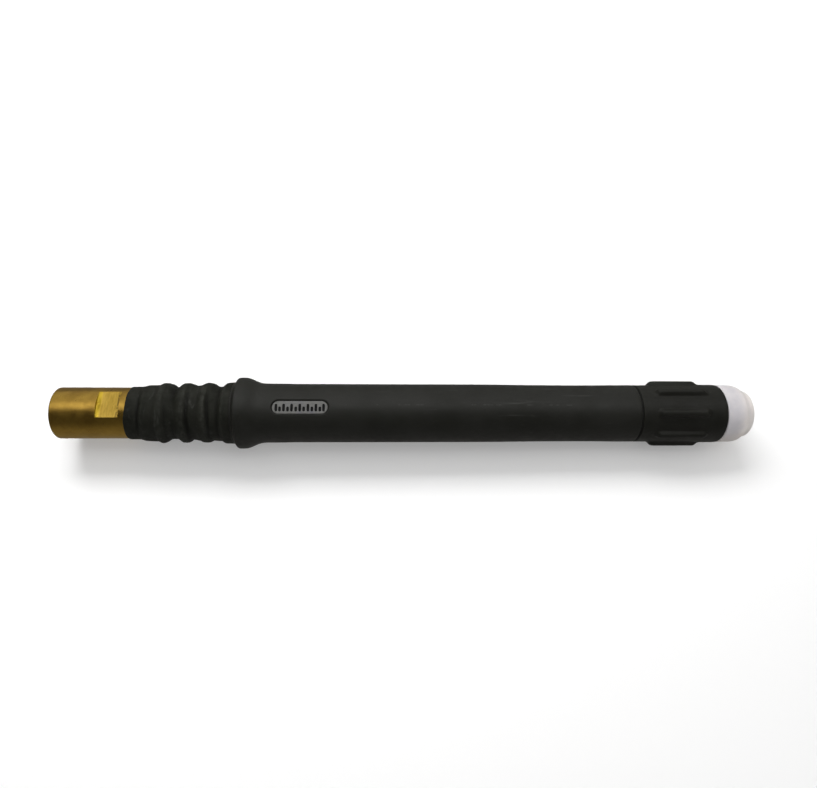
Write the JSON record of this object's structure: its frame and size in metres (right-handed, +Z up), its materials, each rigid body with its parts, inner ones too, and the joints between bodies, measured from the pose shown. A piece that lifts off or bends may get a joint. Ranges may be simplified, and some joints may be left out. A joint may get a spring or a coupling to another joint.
{
  "type": "tig torch",
  "caption": "Straight pencil TIG welding torch body: brass cable connector, ribbed rubber boot, round black handle, screw-on ribbed nose cap and white front insulator.",
  "frame": {"origin": "on the torch axis at the mouth of the collet body thread, in the head's front face", "axes": "+X along the torch axis towards the welding end, +Z up from the surface that the torch lies on, +Y to the left of the welding direction"},
  "size_m": [0.2734, 0.028, 0.0281],
  "materials": {
    "brass": "turned brass, olive-gold with fine tool marks",
    "head_brass": "machined brass",
    "copper": "drawn copper",
    "boot_rubber": "matte moulded rubber, slightly wavy",
    "handle_black": "matte glass-filled moulding, faintly scuffed",
    "cap_black": "matte moulding with a fine grain",
    "label_grey": "satin grey plate",
    "ptfe_white": "waxy white fluoropolymer, satin",
    "seal_rubber": "smooth black seal",
    "phenolic": "brown phenolic laminate",
    "sleeve_cream": "cream insulating tube",
    "zinc_steel": "zinc plated steel"
  },
  "bodies": {
    "torch": {"rear_connector": "brass", "inlet_seal_washer": "copper", "tail_nipple": "head_brass", "tail_o_ring": "seal_rubber", "lock_nut": "zinc_steel", "rear_boot": "boot_rubber", "handle_tube": "handle_black", "label_plate": "label_grey", "conductor_tube": "copper", "insulation_sleeve": "sleeve_cream", "tube_spacers": "phenolic", "rear_bush": "phenolic", "front_bush": "phenolic", "bush_pins": "zinc_steel", "torch_head": "head_brass", "collet_stop": "copper", "head_o_ring": "seal_rubber"},
    "nose_seal": {"nose_seal_washer": "seal_rubber"},
    "nose_cap": {"nose_cap": "cap_black", "cap_thread_insert": "head_brass"},
    "front_insulator": {"front_insulator": "ptfe_white", "insulator_o_ring": "seal_rubber"}
  },
  "joints": [
    {"name": "nose_cap_travel", "type": "slide", "parent": "torch", "child": "nose_seal", "axis": [1, 0, 0], "range_m": [0, 0.009]},
    {"name": "nose_cap_turn", "type": "hinge", "parent": "nose_seal", "child": "nose_cap", "pos_m": [-0.02, 0, 0], "axis": [1, 0, 0], "range_deg": [0, 2160]},
    {"name": "insulator_pull", "type": "slide", "parent": "nose_cap", "child": "front_insulator", "axis": [1, 0, 0], "range_m": [0, 0.014]}
  ],
  "couplings": [
    {"joint": "nose_cap_travel", "follows": "nose_cap_turn", "m_per_rad": 0.00023873}
  ]
}
